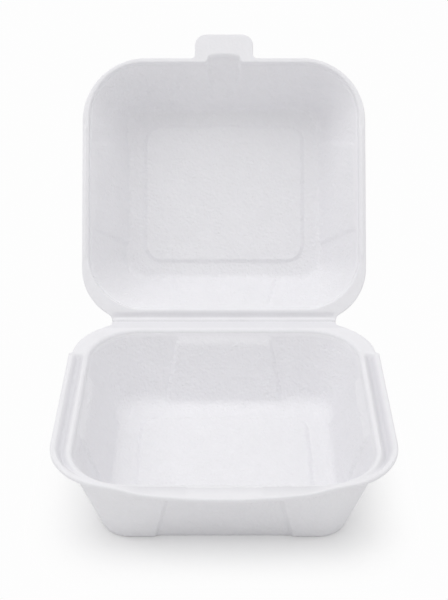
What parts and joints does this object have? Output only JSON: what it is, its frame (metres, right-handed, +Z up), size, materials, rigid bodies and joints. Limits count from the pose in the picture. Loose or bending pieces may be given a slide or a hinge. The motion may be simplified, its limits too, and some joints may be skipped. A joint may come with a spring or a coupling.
{
  "type": "foam clamshell container",
  "caption": "Foam takeaway box with a drafted base tray, a grooved rim and a hinged lid with a front tab, for holding a burger or a small hot meal.",
  "frame": {"origin": "middle of the base's foot, on the table", "axes": "+Z up, +Y from the front flange to the fold, +X to the right of someone facing the open front"},
  "size_m": [0.15, 0.2278, 0.1622],
  "materials": {
    "foam": "matt white expanded polystyrene foam with a fine cell texture"
  },
  "bodies": {
    "base_tray": {"base_tray": "foam"},
    "lid": {"lid": "foam"}
  },
  "joints": [
    {"name": "lid_fold", "type": "hinge", "parent": "base_tray", "child": "lid", "pos_m": [0, 0.0683, 0.03915], "axis": [1, 0, 0], "range_deg": [-57.5, 122.5]}
  ]
}
